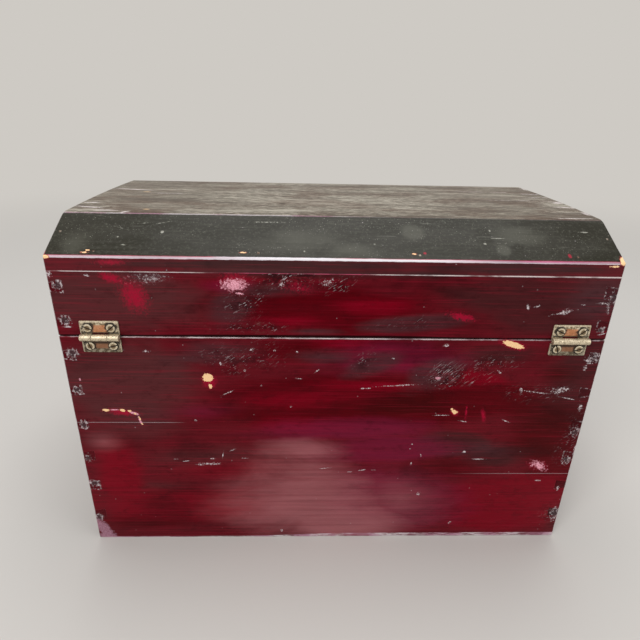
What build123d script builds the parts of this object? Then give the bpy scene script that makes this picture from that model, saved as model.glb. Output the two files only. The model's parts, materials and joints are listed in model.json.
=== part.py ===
from build123d import *
from math import atan2, cos, tan
import os

os.makedirs("parts", exist_ok=True)

# A small dovetailed trunk with a canted lid. Millimetres, +Z up.
# X runs along the trunk, -Y is the hinged back and +Y is the front with its catch.
# The origin is the middle of the footprint, on the floor.

# Boards
width = 430.0  # outside, end to end
depth = 262.0  # outside, back to front
base_top = 208.2  # rim of the base above the floor
wall = 10.0  # thickness of the upright boards
bottom_thick = 5.0  # boards planted under the walls
bottom_seam = 8.0  # seam of the two bottom boards, in front of the middle
lower_seam = 75.0  # seams of the three planks of the back and the front
upper_seam = 129.0
end_seam = 111.0  # seam of the two planks of each end
rim_gap = 0.6  # between the closed rims

# Lid
rail = 52.2  # upright side of the lid, under the slope board
slope_run = 43.0
slope_rise = 23.2
slope_thick = 10.0
top_thick = 10.0
crown = 1.2  # rise of the planed top at its middle

# Eased edges
corner_ease = 0.9
arris_round = 2.4
ridge_round = 18.0
rim_ease = 0.6

# Dovetails: narrow pins on the ends, wide tails on the back and the front
pin_tip = 6.5  # width of a pin at the outside corner
pin_slope = 6.0  # 1 in 6
pin_margin = 5.0  # least wood beyond the last pin
base_pin_drop = 16.0  # first pin of the base, below its rim
base_pin_pitch = 32.5
lid_pin_rise = 12.0  # first pin of the lid, above its rim
lid_pin_pitch = 28.0

# Hinges
hinge_left_in = 32.6  # middle of a hinge, in from its end of the trunk
hinge_right_in = 29.8
hinge_width = 29.6
middle_knuckle = 12.0
knuckle_gap = 0.3
barrel_radius = 2.65
barrel_stand = 0.3  # back of the barrel clear of the wood
hinge_pin_radius = 1.1
hinge_pin_proud = 0.3
leaf_reach = 13.2  # axis to the leaf's far edge
leaf_thick = 1.0
leaf_corner = 0.7
notch_clear = 0.4  # between a knuckle and the other leaf

# Screws of the hinges
screw_spread = 17.6  # between the two screws of a leaf
screw_height = 7.6  # from the hinge axis
screw_head = (3.3, 1.2)  # radius and height
screw_radius = 1.2
screw_reach = 8.0
screw_turns = (25.0, -40.0, 70.0, -15.0)  # of the slots, two above the axis and two below
slot_width = 0.9
slot_depth = 0.5

# Cut nails and brads, square in section
nail_side = 1.6
nail_head_side = 3.6
nail_head_thick = 0.6
nail_reach = 24.0  # length under the head
nail_pitch = 95.0
nail_corner = 34.0  # least distance from a corner
brad_side = 1.6
brad_reach = 14.0  # into the rail or the gable below the board
brad_pitch = 120.0
brad_corner = 28.0
top_brad_pitch = 56.0
top_brad_corner = 18.0
gable_brad_in = 23.0  # from the back or the front of the lid

# Front catch
catch_drop = 20.0  # pivot below the rim of the base
catch_rise = 13.0  # peg above the rim of the lid
hook_thick = 1.8
hook_eye_radius = 4.6
hook_head_radius = 5.4
hook_waist_radius = 2.4
hook_fillet = 3.0
thumb_radius = 2.6
thumb_reach = 5.8
thumb_side = 3.2
thumb_fillet = 1.2
mouth_width = 6.4
mouth_reach = 7.0
washer_radius = 3.9
washer_thick = 0.8
peg_radius = 1.6
peg_head = (3.4, 1.5)
pivot_radius = 1.5
pivot_head = (3.8, 1.5)
pivot_turn = 30.0
catch_reach = 8.0
hook_play = 0.3  # hook to the peg and to what holds it down

# Fits
shaft_clear = 0.05  # radial, round a shaft
slide_clear = 0.05  # between faces that slide

# Sizes that follow
half_width = width / 2
half_depth = depth / 2
flat_half = half_depth - slope_run
slope_angle = atan2(slope_rise, slope_run)
strip = slope_thick / cos(slope_angle)  # plumb lower edge of a slope board
lid_bottom = base_top + rim_gap
rail_top = lid_bottom + rail
lower_arris = rail_top + strip
ridge = lower_arris + slope_rise
inside_top = ridge - top_thick
rail_inside_top = rail_top + wall * tan(slope_angle)
mitre_inside = half_depth - (inside_top - rail_top) / tan(slope_angle)
pin_root = pin_tip + 2 * wall / pin_slope
hinge_z = base_top + rim_gap / 2
hinge_y = -(half_depth + barrel_stand + barrel_radius)
hinge_places = {
    "hinge_left": hinge_left_in - half_width,
    "hinge_right": half_width - hinge_right_in,
}
catch_z = base_top - catch_drop
peg_z = lid_bottom + catch_rise
hook_length = peg_z - catch_z
hook_back = half_depth + washer_thick + slide_clear
hook_front = hook_back + hook_thick
back_face = Plane.XZ.offset(half_depth)
back_wall = Plane.XZ.offset(half_depth - wall)
front_wall = Plane.XZ.offset(-half_depth)
screw_seat = back_face.offset(leaf_thick)


def evenly(count, pitch):
    return [(i - (count - 1) / 2) * pitch for i in range(count)]


def spread(length, corner, pitch):
    return evenly(max(2, int((length - 2 * corner) / pitch) + 1), pitch)


def keep(name, builder):
    builder.part.label = name
    export_step(builder.part, f"parts/{name}.step")


# Heights of the dovetail pins
base_pins = []
pin_height = base_top - base_pin_drop
while pin_height - pin_root / 2 > bottom_thick + pin_margin:
    base_pins.append(pin_height)
    pin_height -= base_pin_pitch
lid_pins = []
pin_height = lid_bottom + lid_pin_rise
while pin_height + pin_root / 2 < rail_top - pin_margin / 2:
    lid_pins.append(pin_height)
    pin_height += lid_pin_pitch

# Places of the nails and brads, as (x, y) seen from above
mid_wall = half_depth - wall / 2
mid_end = half_width - wall / 2
nail_places = [(x, y) for y in (-mid_wall, mid_wall) for x in spread(width, nail_corner, nail_pitch)]
nail_places += [(x, y) for x in (-mid_end, mid_end) for y in spread(depth, nail_corner, nail_pitch)]
slope_brads = [(x, mid_wall) for x in spread(width, brad_corner, brad_pitch)]
slope_brads += [(x, half_depth - gable_brad_in) for x in (-mid_end, mid_end)]
top_brad_rows = spread(2 * flat_half, top_brad_corner, top_brad_pitch)
top_brads = [(x, y) for x in (-mid_end, mid_end) for y in top_brad_rows]


def under_slope(y):
    return rail_top + (half_depth - abs(y)) * tan(slope_angle)


# Outside of the base, with its corners and rim eased
with BuildPart() as base_outside:
    with BuildSketch(Plane.XY):
        Rectangle(width, depth)
    extrude(amount=base_top)
    chamfer(base_outside.edges().filter_by(Axis.Z), corner_ease)
    chamfer(base_outside.faces().sort_by(Axis.Z)[-1].edges(), rim_ease)
    chamfer(base_outside.faces().sort_by(Axis.Z)[0].edges(), rim_ease)

# Outside of the lid: upright sides, two slopes and a crowned top
with BuildPart() as lid_outside:
    with BuildSketch(Plane.YZ.offset(-half_width)) as lid_section:
        with BuildLine():
            Polyline(
                (-flat_half, ridge),
                (-half_depth, lower_arris),
                (-half_depth, lid_bottom),
                (half_depth, lid_bottom),
                (half_depth, lower_arris),
                (flat_half, ridge),
            )
            ThreePointArc((-flat_half, ridge), (0, ridge + crown), (flat_half, ridge))
        make_face()
        arrises = lid_section.vertices().group_by(Axis.Y)
        fillet(arrises[1], arris_round)
        fillet(lid_section.vertices().group_by(Axis.Y)[-1], ridge_round)
    extrude(amount=width)
    lid_ends = lid_outside.faces().filter_by(Axis.X)
    chamfer(lid_ends.edges().filter_by(lambda e: e.center().Z > lid_bottom + rim_gap), corner_ease)
    chamfer(lid_outside.faces().sort_by(Axis.Z)[0].edges(), rim_ease)

# What the slope boards and the top cover: the rails and gables end at this prism
with BuildPart() as lid_sides:
    with BuildSketch(Plane.YZ.offset(-half_width)):
        Polygon(
            (-half_depth, lid_bottom),
            (half_depth, lid_bottom),
            (half_depth, rail_top),
            (mitre_inside, inside_top),
            (-mitre_inside, inside_top),
            (-half_depth, rail_top),
            align=None,
        )
    extrude(amount=width)
    add(lid_outside.part, mode=Mode.INTERSECT)

# Holes for every fastener, cut from each board that one passes
nail_hole = nail_side + 2 * shaft_clear
nail_head_hole = nail_head_side + 2 * shaft_clear
brad_hole = brad_side + 2 * shaft_clear
with BuildPart() as fastener_holes:
    with BuildSketch(Plane.XY):
        with Locations(nail_places):
            Rectangle(nail_hole, nail_hole)
    extrude(amount=nail_head_thick + nail_reach)
    with BuildSketch(Plane.XY):
        with Locations(nail_places):
            Rectangle(nail_head_hole, nail_head_hole)
    extrude(amount=nail_head_thick)
    for side in (-1, 1):
        for x, y in slope_brads:
            with BuildSketch(Plane.XY.offset(under_slope(y) - brad_reach)):
                with Locations((x, side * y)):
                    Rectangle(brad_hole, brad_hole)
            extrude(amount=brad_reach + slope_thick + slope_rise)
    with BuildSketch(Plane.XY.offset(inside_top - brad_reach)):
        with Locations(top_brads):
            Rectangle(brad_hole, brad_hole)
    extrude(amount=brad_reach + top_thick + 2 * crown)
    with BuildSketch(back_face):
        for x in hinge_places.values():
            with Locations((x, hinge_z)):
                with GridLocations(screw_spread, 2 * screw_height, 2, 2):
                    Circle(screw_radius + shaft_clear)
    extrude(amount=leaf_thick - screw_reach)
    with BuildSketch(front_wall):
        with Locations((0, catch_z)):
            Circle(pivot_radius + shaft_clear)
        with Locations((0, peg_z)):
            Circle(peg_radius + shaft_clear)
    extrude(amount=catch_reach)


def cut_pins(heights):
    # Trapezoids, narrow at the outside corner and wide at the inner face of the end board
    for side in (-1, 1):
        outer = side * half_width
        inner = side * (half_width - wall)
        for height in heights:
            Polygon(
                (outer, height - pin_tip / 2),
                (outer, height + pin_tip / 2),
                (inner, height + pin_root / 2),
                (inner, height - pin_root / 2),
                align=None,
                mode=Mode.SUBTRACT,
            )


def tail_board(name, plane, low, high, heights, outside):
    # A long board of the back or the front, with sockets at its ends for the pins
    with BuildPart() as board:
        with BuildSketch(plane):
            with Locations((0, (low + high) / 2)):
                Rectangle(width, high - low)
            cut_pins(heights)
        extrude(amount=wall)
        add(outside.part, mode=Mode.INTERSECT)
        add(fastener_holes.part, mode=Mode.SUBTRACT)
    keep(name, board)


# Back and front of the base: three planks each
for face, plane in (("back", back_wall), ("front", front_wall)):
    tail_board(f"{face}_plank_lower", plane, bottom_thick, lower_seam, base_pins, base_outside)
    tail_board(f"{face}_plank_middle", plane, lower_seam, upper_seam, base_pins, base_outside)
    tail_board(f"{face}_plank_upper", plane, upper_seam, base_top, base_pins, base_outside)


# Rails of the lid, with their upper edges planed to the slope
tail_board("lid_rear_rail", back_wall, lid_bottom, rail_inside_top, lid_pins, lid_sides)
tail_board("lid_front_rail", front_wall, lid_bottom, rail_inside_top, lid_pins, lid_sides)


def pin_board(name, side, low, high, joint_top, heights, outside):
    # An end board whose pins reach through both walls: its corner blocks are cut away but for the pins
    with BuildPart() as board:
        with BuildSketch(Plane.YZ.offset(side * half_width)):
            with Locations((0, (low + high) / 2)):
                Rectangle(depth, high - low)
        extrude(amount=-side * wall)
        for plane in (back_wall, front_wall):
            with BuildSketch(plane):
                with Locations((side * mid_end, (low + joint_top) / 2)):
                    Rectangle(wall, joint_top - low)
                cut_pins(heights)
            extrude(amount=wall, mode=Mode.SUBTRACT)
        add(outside.part, mode=Mode.INTERSECT)
        add(fastener_holes.part, mode=Mode.SUBTRACT)
    keep(name, board)


# Ends of the base, and the gables of the lid under its slopes and top
for end, side in (("left", -1), ("right", 1)):
    pin_board(f"{end}_plank_lower", side, bottom_thick, end_seam, end_seam, base_pins, base_outside)
    pin_board(f"{end}_plank_upper", side, end_seam, base_top, base_top, base_pins, base_outside)
    pin_board(f"lid_{end}_gable", side, lid_bottom, inside_top, rail_inside_top, lid_pins, lid_sides)

# Bottom of the base: two thin boards under the walls
for name, low, high in (
    ("bottom_board_rear", -half_depth, bottom_seam),
    ("bottom_board_front", bottom_seam, half_depth),
):
    with BuildPart() as bottom:
        with BuildSketch(Plane.XY):
            with Locations((0, (low + high) / 2)):
                Rectangle(width, high - low)
        extrude(amount=bottom_thick)
        add(base_outside.part, mode=Mode.INTERSECT)
        add(fastener_holes.part, mode=Mode.SUBTRACT)
    keep(name, bottom)

# Slope boards and top of the lid, mitred along the ridges
over_top = ridge + 2 * crown
mitre = [(flat_half, ridge), (mitre_inside, inside_top)]
slope_section = [(half_depth, rail_top), (half_depth, lower_arris)] + mitre
top_section = [(flat_half, over_top)] + mitre
lid_boards = {
    "lid_rear_slope": [(-y, z) for y, z in slope_section],
    "lid_front_slope": slope_section,
    "lid_top_board": top_section + [(-y, z) for y, z in reversed(top_section)],
}
for name, section in lid_boards.items():
    with BuildPart() as board:
        with BuildSketch(Plane.YZ.offset(-half_width)):
            Polygon(*section, align=None)
        extrude(amount=width)
        add(lid_outside.part, mode=Mode.INTERSECT)
        add(fastener_holes.part, mode=Mode.SUBTRACT)
    keep(name, board)

# Nails that hold the bottom boards up to the walls, their flat heads flush underneath
with BuildPart() as bottom_nails:
    with BuildSketch(Plane.XY):
        with Locations(nail_places):
            Rectangle(nail_head_side, nail_head_side)
    extrude(amount=nail_head_thick)
    with BuildSketch(Plane.XY):
        with Locations(nail_places):
            Rectangle(nail_side, nail_side)
    extrude(amount=nail_head_thick + nail_reach)
keep("bottom_nails", bottom_nails)

# Brads of the lid, driven upright and filed flush with the board that they hold
for name, side in (("rear_slope_brads", -1), ("front_slope_brads", 1)):
    with BuildPart() as brads:
        for x, y in slope_brads:
            with BuildSketch(Plane.XY.offset(under_slope(y) - brad_reach)):
                with Locations((x, side * y)):
                    Rectangle(brad_side, brad_side)
            extrude(amount=brad_reach + slope_thick + slope_rise)
        add(lid_outside.part, mode=Mode.INTERSECT)
    keep(name, brads)
with BuildPart() as top_board_brads:
    with BuildSketch(Plane.XY.offset(inside_top - brad_reach)):
        with Locations(top_brads):
            Rectangle(brad_side, brad_side)
    extrude(amount=brad_reach + top_thick + 2 * crown)
    add(lid_outside.part, mode=Mode.INTERSECT)
keep("top_board_brads", top_board_brads)


def hinge_leaf(name, x, side, own, other):
    # Knuckles are (middle, length) along the barrel; side is 1 for the leaf above the axis, -1 below it
    far = -1 if side > 0 else 0
    with BuildPart() as leaf:
        with BuildSketch(back_face):
            with Locations((x, hinge_z + side * leaf_reach / 2)):
                Rectangle(hinge_width, leaf_reach)
        extrude(amount=leaf_thick)
        chamfer(leaf.edges().filter_by(Axis.Y).group_by(Axis.Z)[far], leaf_corner)
        with BuildSketch(back_face):
            for middle, length in other:
                with Locations((x + middle, hinge_z)):
                    Rectangle(length + 2 * knuckle_gap, 2 * (barrel_radius + notch_clear))
            with Locations((x, hinge_z + side * screw_height)):
                with GridLocations(screw_spread, screw_spread, 2, 1):
                    Circle(screw_radius + shaft_clear)
        extrude(amount=leaf_thick, mode=Mode.SUBTRACT)
        for middle, length in own:
            with BuildSketch(Plane.YZ.offset(x + middle - length / 2)):
                with Locations((hinge_y, hinge_z)):
                    Circle(barrel_radius)
            extrude(amount=length)
        with BuildSketch(Plane.YZ.offset(x - hinge_width / 2)):
            with Locations((hinge_y, hinge_z)):
                Circle(hinge_pin_radius + shaft_clear)
        extrude(amount=hinge_width, mode=Mode.SUBTRACT)
    keep(name, leaf)


def headed(name, plane, places, head, shank, slots):
    # Screws or pegs seated on a plane that faces out of the trunk; a screw's slot is turned by its angle
    head_radius, head_height = head
    radius, reach = shank
    with BuildPart() as group:
        with BuildSketch(plane):
            with Locations(places):
                Circle(head_radius)
        extrude(amount=head_height)
        with BuildSketch(plane):
            with Locations(places):
                Circle(radius)
        extrude(amount=-reach)
        for place, turn in zip(places, slots):
            with BuildSketch(plane.offset(head_height)):
                with Locations(Location(place, turn)):
                    Rectangle(2 * head_radius, slot_width)
            extrude(amount=-slot_depth, mode=Mode.SUBTRACT)
    keep(name, group)


# The two hinges: outer knuckles on the lid's leaf, middle knuckle on the base's leaf
outer_length = (hinge_width - middle_knuckle) / 2 - knuckle_gap
outer_middle = (hinge_width - outer_length) / 2
outer_knuckles = [(-outer_middle, outer_length), (outer_middle, outer_length)]
middle_knuckles = [(0, middle_knuckle)]
for name, x in hinge_places.items():
    hinge_leaf(f"{name}_upper_leaf", x, 1, outer_knuckles, middle_knuckles)
    hinge_leaf(f"{name}_lower_leaf", x, -1, middle_knuckles, outer_knuckles)
    with BuildPart() as pin:
        with BuildSketch(Plane.YZ.offset(x - hinge_width / 2 - hinge_pin_proud)):
            with Locations((hinge_y, hinge_z)):
                Circle(hinge_pin_radius)
        extrude(amount=hinge_width + 2 * hinge_pin_proud)
    keep(f"{name}_pin", pin)
    for leaf, side, slots in (("upper", 1, screw_turns[:2]), ("lower", -1, screw_turns[2:])):
        places = [(x + step, hinge_z + side * screw_height) for step in (-screw_spread / 2, screw_spread / 2)]
        headed(f"{name}_{leaf}_screws", screw_seat, places, screw_head, (screw_radius, screw_reach), slots)

# Front catch: a flat hook that hangs from the base and swings up over a peg on the lid
hook_plane = Plane.XZ.offset(-hook_front)
hook_eye = (0, catch_z)
hook_head = (0, catch_z - hook_length)
with BuildPart() as catch_hook:
    with BuildSketch(hook_plane) as hook_outline:
        with Locations((0, catch_z - hook_length / 2)):
            Rectangle(2 * hook_waist_radius, hook_length)
        with Locations(hook_eye):
            Circle(hook_eye_radius)
        with Locations(hook_head):
            Circle(hook_head_radius)
        fillet(hook_outline.vertices(), hook_fillet)
        with Locations((thumb_side, hook_head[1] - thumb_reach)):
            Circle(thumb_radius)
        fillet(hook_outline.vertices().sort_by(Axis.Y)[:2], thumb_fillet)
    extrude(amount=hook_thick)
    with BuildSketch(hook_plane):
        with Locations(hook_head):
            Circle(peg_radius + hook_play)
            Polygon(
                (0, peg_radius + hook_play),
                (0, -peg_radius - hook_play),
                (-mouth_reach, -mouth_width / 2),
                (-mouth_reach, mouth_width / 2),
                align=None,
            )
        with Locations(hook_eye):
            Circle(pivot_radius + shaft_clear)
    extrude(amount=hook_thick, mode=Mode.SUBTRACT)
keep("catch_hook", catch_hook)
with BuildPart() as catch_washer:
    with BuildSketch(Plane.XZ.offset(-half_depth - washer_thick)):
        with Locations(hook_eye):
            Circle(washer_radius)
            Circle(pivot_radius + shaft_clear, mode=Mode.SUBTRACT)
    extrude(amount=washer_thick)
keep("catch_washer", catch_washer)
pivot_seat = hook_front + slide_clear
pivot_shank = (pivot_radius, pivot_seat - half_depth + catch_reach)
headed("catch_pivot", Plane.back.offset(pivot_seat), [hook_eye], pivot_head, pivot_shank, [pivot_turn])
peg_seat = hook_front + hook_play
peg_shank = (peg_radius, peg_seat - half_depth + catch_reach)
headed("catch_peg", Plane.back.offset(peg_seat), [(0, peg_z)], peg_head, peg_shank, [])
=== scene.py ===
import bpy
import json
from functools import partial
from math import radians
from mathutils import Matrix, Vector

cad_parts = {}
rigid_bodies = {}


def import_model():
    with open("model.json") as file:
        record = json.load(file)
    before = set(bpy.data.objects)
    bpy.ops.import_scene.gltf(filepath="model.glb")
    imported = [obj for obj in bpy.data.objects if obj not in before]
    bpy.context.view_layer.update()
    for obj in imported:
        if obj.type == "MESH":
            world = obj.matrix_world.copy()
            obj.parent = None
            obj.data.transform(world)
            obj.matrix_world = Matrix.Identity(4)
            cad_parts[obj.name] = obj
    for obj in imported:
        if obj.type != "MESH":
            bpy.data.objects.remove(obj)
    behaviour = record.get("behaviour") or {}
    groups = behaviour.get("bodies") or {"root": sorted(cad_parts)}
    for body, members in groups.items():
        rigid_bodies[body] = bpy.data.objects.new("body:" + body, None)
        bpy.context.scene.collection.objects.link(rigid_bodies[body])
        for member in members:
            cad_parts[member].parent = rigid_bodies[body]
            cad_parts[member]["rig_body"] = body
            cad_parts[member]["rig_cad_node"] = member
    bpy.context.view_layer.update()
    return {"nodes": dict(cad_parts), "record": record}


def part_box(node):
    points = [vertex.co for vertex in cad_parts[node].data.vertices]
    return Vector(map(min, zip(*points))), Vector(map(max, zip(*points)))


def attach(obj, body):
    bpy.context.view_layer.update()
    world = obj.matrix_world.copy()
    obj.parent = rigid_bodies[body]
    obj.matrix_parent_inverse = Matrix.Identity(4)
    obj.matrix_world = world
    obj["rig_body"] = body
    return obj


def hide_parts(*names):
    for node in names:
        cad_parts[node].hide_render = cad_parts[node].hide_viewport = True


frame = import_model()
nodes = frame["nodes"]
print("frame loaded:", len(nodes), "nodes")

# Sizes read from the frame, in metres
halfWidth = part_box("bottom_board_rear")[1].x
halfDepth = -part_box("bottom_board_rear")[0].y
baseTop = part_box("back_plank_upper")[1].z
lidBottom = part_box("lid_rear_rail")[0].z
rimHeight = (baseTop + lidBottom) / 2
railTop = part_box("lid_rear_slope")[0].z
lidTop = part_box("lid_top_board")[1].z
hingeAxis = sum(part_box("hinge_left_pin"), Vector()) / 2

form = {
    "lowerArris": 0.27236,
    "ridge": 0.29556,
    "ridgeIn": 0.0430,  # ridge, in from the back and front faces
    "wall": 0.010,
    "backSeams": (0.075, 0.129),  # where the planks meet
    "endSeam": 0.111,
}
flatHalf = halfDepth - form["ridgeIn"]
slopeRate = (form["ridge"] - form["lowerArris"]) / form["ridgeIn"]


def tone(red, green, blue):
    # A colour as a picker shows it, 0 to 255, made linear
    parts = [value / 255 for value in (red, green, blue)]
    linear = [p / 12.92 if p <= 0.04045 else ((p + 0.055) / 1.055) ** 2.4 for p in parts]
    return *linear, 1


# Shader helpers: each adds to the node tree that was opened last, at its own position
opened = {}


def openTree(tree, position=None):
    opened["tree"], opened["position"] = tree, position


def feed(socket, value):
    # A socket takes a link from another node or a plain value
    if isinstance(value, bpy.types.NodeSocket):
        opened["tree"].links.new(value, socket)
    else:
        socket.default_value = value


def addNode(kind, inputs=None, **settings):
    made = opened["tree"].nodes.new(kind)
    for key, value in settings.items():
        setattr(made, key, value)
    for key, value in (inputs or {}).items():
        feed(made.inputs[key], value)
    return made


def calc(operation, *values):
    return addNode("ShaderNodeMath", dict(enumerate(values)), operation=operation).outputs[0]


def inTurn(operation, first, *others):
    for value in others:
        first = calc(operation, first, value)
    return first


times, plus, most, least, minus, divided = (
    partial(inTurn, kind) for kind in ("MULTIPLY", "ADD", "MAXIMUM", "MINIMUM", "SUBTRACT", "DIVIDE")
)
scaled, positive, under, over = (
    partial(calc, kind) for kind in ("MULTIPLY_ADD", "ABSOLUTE", "LESS_THAN", "GREATER_THAN")
)


def apart(first, second):
    return positive(minus(first, second))


def hypotenuse(a, b):
    return calc("SQRT", plus(times(a, a), times(b, b)))


def vectorCalc(operation, *values):
    made = addNode("ShaderNodeVectorMath", dict(enumerate(values)), operation=operation)
    return made.outputs["Value" if operation == "LENGTH" else "Vector"]


def separate(vector):
    return addNode("ShaderNodeSeparateXYZ", {"Vector": vector}).outputs


def tilted(vector, angle):
    values = {"Vector": vector, "Angle": angle}
    return addNode("ShaderNodeVectorRotate", values, rotation_type="Y_AXIS").outputs["Vector"]


def remap(value, low, high, toLow=0.0, toHigh=1.0):
    values = {"Value": value, "From Min": low, "From Max": high, "To Min": toLow, "To Max": toHigh}
    return addNode(
        "ShaderNodeMapRange", values, interpolation_type="SMOOTHSTEP", clamp=False
    ).outputs["Result"]


def noise(vector, scale, detail, rough, distortion=0.0, output="Fac"):
    values = {
        "Vector": vector, "Scale": scale, "Detail": detail, "Roughness": rough, "Distortion": distortion
    }
    return addNode("ShaderNodeTexNoise", values).outputs[output]


def speckle(scale, detail, rough, distortion=0.0):
    # Noise that is the same in every direction
    return noise(opened["position"], scale, detail, rough, distortion)


def drift(stretch, detail, rough, distortion=0.0, output="Fac"):
    # Noise drawn out where stretch is small
    return noise(vectorCalc("MULTIPLY", opened["position"], stretch), 1.0, detail, rough, distortion, output)


def lineAt(value, place, width):
    return remap(apart(value, place), width, 0.0)


def painted(below, mask, above):
    # One colour over another through a mask: a socket, a tone, or the name of one of the lacquer's tones
    first, second = (lacquer[colour] if isinstance(colour, str) else colour for colour in (below, above))
    made = addNode("ShaderNodeMix", {0: mask, 6: first, 7: second}, data_type="RGBA", blend_type="MIX")
    return made.outputs[2]


def mixValues(factor, first, second):
    return addNode("ShaderNodeMix", {0: factor, 2: first, 3: second}, data_type="FLOAT").outputs[0]


socketKinds = {"vector": "NodeSocketVector", "value": "NodeSocketFloat", "colour": "NodeSocketColor"}


def newGroup(name, inputs, outputs):
    # Opens a new shader group. Every one takes a Position first
    group = bpy.data.node_groups.new(name, "ShaderNodeTree")
    group.interface.new_socket("Position", in_out="INPUT", socket_type=socketKinds["vector"])
    for label, (kind, default) in inputs.items():
        made = group.interface.new_socket(label, in_out="INPUT", socket_type=socketKinds[kind])
        made.default_value = default
    for label in outputs:
        kind = "colour" if label == "Colour" else "value"
        group.interface.new_socket(label, in_out="OUTPUT", socket_type=socketKinds[kind])
    given = group.nodes.new("NodeGroupInput").outputs
    openTree(group, given["Position"])
    return group, given, group.nodes.new("NodeGroupOutput").inputs


def useGroup(group, **inputs):
    made = addNode("ShaderNodeGroup", node_tree=group)
    for key, value in {"Position": opened["position"], **inputs}.items():
        feed(made.inputs[key], value)
    return made.outputs


def maskOf(group, **inputs):
    return useGroup(group, **inputs)["Mask"]


# Effects that several materials share

# Brush marks drawn out along a board: Stretch is large across the strokes and small along them
brushStrokes, given, result = newGroup(
    "brushStrokes", {"Stretch": ("vector", (3, 60, 220))}, ["Broad", "Fine", "Hair"]
)
drawn = vectorCalc("MULTIPLY", opened["position"], given["Stretch"])
for label, settings in {
    "Broad": (0.22, 4, 0.6, 0.3), "Fine": (1.1, 4, 0.62, 0.15), "Hair": (4, 2, 0.5)
}.items():
    feed(result[label], noise(drawn, *settings))

# One spot of paint, wear or dirt, its outline broken up by Grain
paintSpot, given, result = newGroup(
    "paintSpot",
    {
        "Grain": ("value", 0.5), "Centre": ("vector", (0, 0, 0)), "Size": ("vector", (0.01, 0.01, 0.01)),
        "Tilt": ("value", 0.0), "Ragged": ("value", 0.5), "Soft": ("value", 0.2),
    },
    ["Mask"],
)
away = vectorCalc("SUBTRACT", opened["position"], given["Centre"])
reach = minus(1.0, vectorCalc("LENGTH", vectorCalc("DIVIDE", tilted(away, given["Tilt"]), given["Size"])))
broken = plus(divided(reach, given["Ragged"]), minus(given["Grain"], 0.5))
fade = divided(given["Soft"], given["Ragged"])
feed(result["Mask"], remap(broken, 0.0, fade))

# Tiny flecks: Share is how many cells hold one
flecks, given, result = newGroup(
    "flecks", {"Scale": ("value", 300.0), "Share": ("value", 0.1), "Size": ("value", 0.3)}, ["Mask"]
)
wander = noise(opened["position"], 500, 2, 0.5, output="Color")
shifted = vectorCalc("MULTIPLY_ADD", wander, (0.0016, 0.0016, 0.0016), opened["position"])
cells = addNode("ShaderNodeTexVoronoi", {"Vector": shifted, "Scale": given["Scale"]})
chosen = under(separate(cells.outputs["Color"])[0], given["Share"])
dot = remap(cells.outputs["Distance"], given["Size"], 0.0)
strength = remap(separate(cells.outputs["Color"])[1], 0.0, 0.8, 0.25, 1.0)
feed(result["Mask"], times(chosen, dot, strength))

# Short hairline scratches along a direction: Stretch is small along them
scratches, given, result = newGroup(
    "scratches",
    {"Angle": ("value", 0.0), "Stretch": ("vector", (25, 400, 900)), "Amount": ("value", 0.3)},
    ["Mask"],
)
drawn = vectorCalc("MULTIPLY", tilted(opened["position"], given["Angle"]), given["Stretch"])
line = noise(drawn, 1.0, 1, 0.4)
edge = minus(0.78, times(given["Amount"], 0.16))
feed(result["Mask"], remap(line, edge, plus(edge, 0.04)))

# Distances inside the trunk's outer faces, and wear along its edges
trunkEdges, given, result = newGroup(
    "trunkEdges",
    {"Width": ("value", 0.002), "Ragged": ("value", 0.5)},
    ["Inside", "Above", "Corner", "Bottom", "Rim", "Arris", "Ridge", "Back"],
)
x, y, z = separate(opened["position"])
across = positive(x)
through = positive(y)
fromEnd = minus(halfWidth, across)
fromFace = minus(halfDepth, through)
slopeHeight = scaled(fromFace, slopeRate, form["lowerArris"])
fromTop = minus(least(slopeHeight, lidTop), z)
side = least(fromEnd, fromFace)
fromRim = apart(z, rimHeight)
fromRidge = hypotenuse(minus(through, flatHalf), minus(z, form["ridge"]))
feed(result["Inside"], least(side, fromTop))
feed(result["Above"], remap(z, form["lowerArris"] - 0.0008, form["lowerArris"] + 0.0004))
feed(result["Back"], remap(y, 0.0012 - halfDepth, 0.0006 - halfDepth))
shift = times(minus(speckle(140, 5, 0.65), 0.5), given["Ragged"])
distances = {
    "Corner": hypotenuse(fromEnd, fromFace), "Bottom": hypotenuse(z, side), "Rim": hypotenuse(fromRim, side),
    "Arris": hypotenuse(fromTop, side), "Ridge": fromRidge,
}
for label, distance in distances.items():
    near = minus(1.0, divided(distance, given["Width"]))
    worn = plus(near, times(shift, 4.0))
    if label == "Rim":  # the lid's own edge stays dark
        worn = minus(worn, remap(z, baseTop, lidBottom, 0.0, 9.0))
    feed(result[label], remap(worn, 0.0, 0.35))

# Dovetail joints at the corners: their outlines, seen on the faces and on the ends
pinShape = {
    "tip": 0.0065,
    "slope": 6,
    "base": (0.1922, 0.0325),  # a pin's middle, then the pitch
    "lid": (0.2208, 0.028),
}
dovetails, given, result = newGroup("dovetails", {"Width": ("value", 0.0005)}, ["Line", "Pin"])
x, y, z = separate(opened["position"])
fromEnd = minus(halfWidth, positive(x))
fromFace = minus(halfDepth, positive(y))
fromPins = []
for first, pitch in (pinShape["base"], pinShape["lid"]):
    step = divided(minus(z, first), pitch)
    fromPins.append(times(apart(step, calc("ROUND", step)), pitch))
fromPin = mixValues(over(z, rimHeight), *fromPins)
below = under(z, railTop)
halfPin = scaled(fromEnd, 1 / pinShape["slope"], pinShape["tip"] / 2)
pastPin = minus(fromPin, halfPin)
acrossWall = times(under(fromEnd, form["wall"]), below)
sideLine = remap(positive(pastPin), given["Width"], 0.0)
rootLine = times(lineAt(fromEnd, form["wall"], given["Width"]), under(pastPin, 0.0))
shoulder = times(lineAt(fromFace, form["wall"], given["Width"]), over(fromPin, pinShape["tip"] / 2))
nearFace = under(fromFace, form["wall"])
onEnd = under(fromEnd, 0.001)
endLine = most(times(sideLine, nearFace), shoulder)
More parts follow.
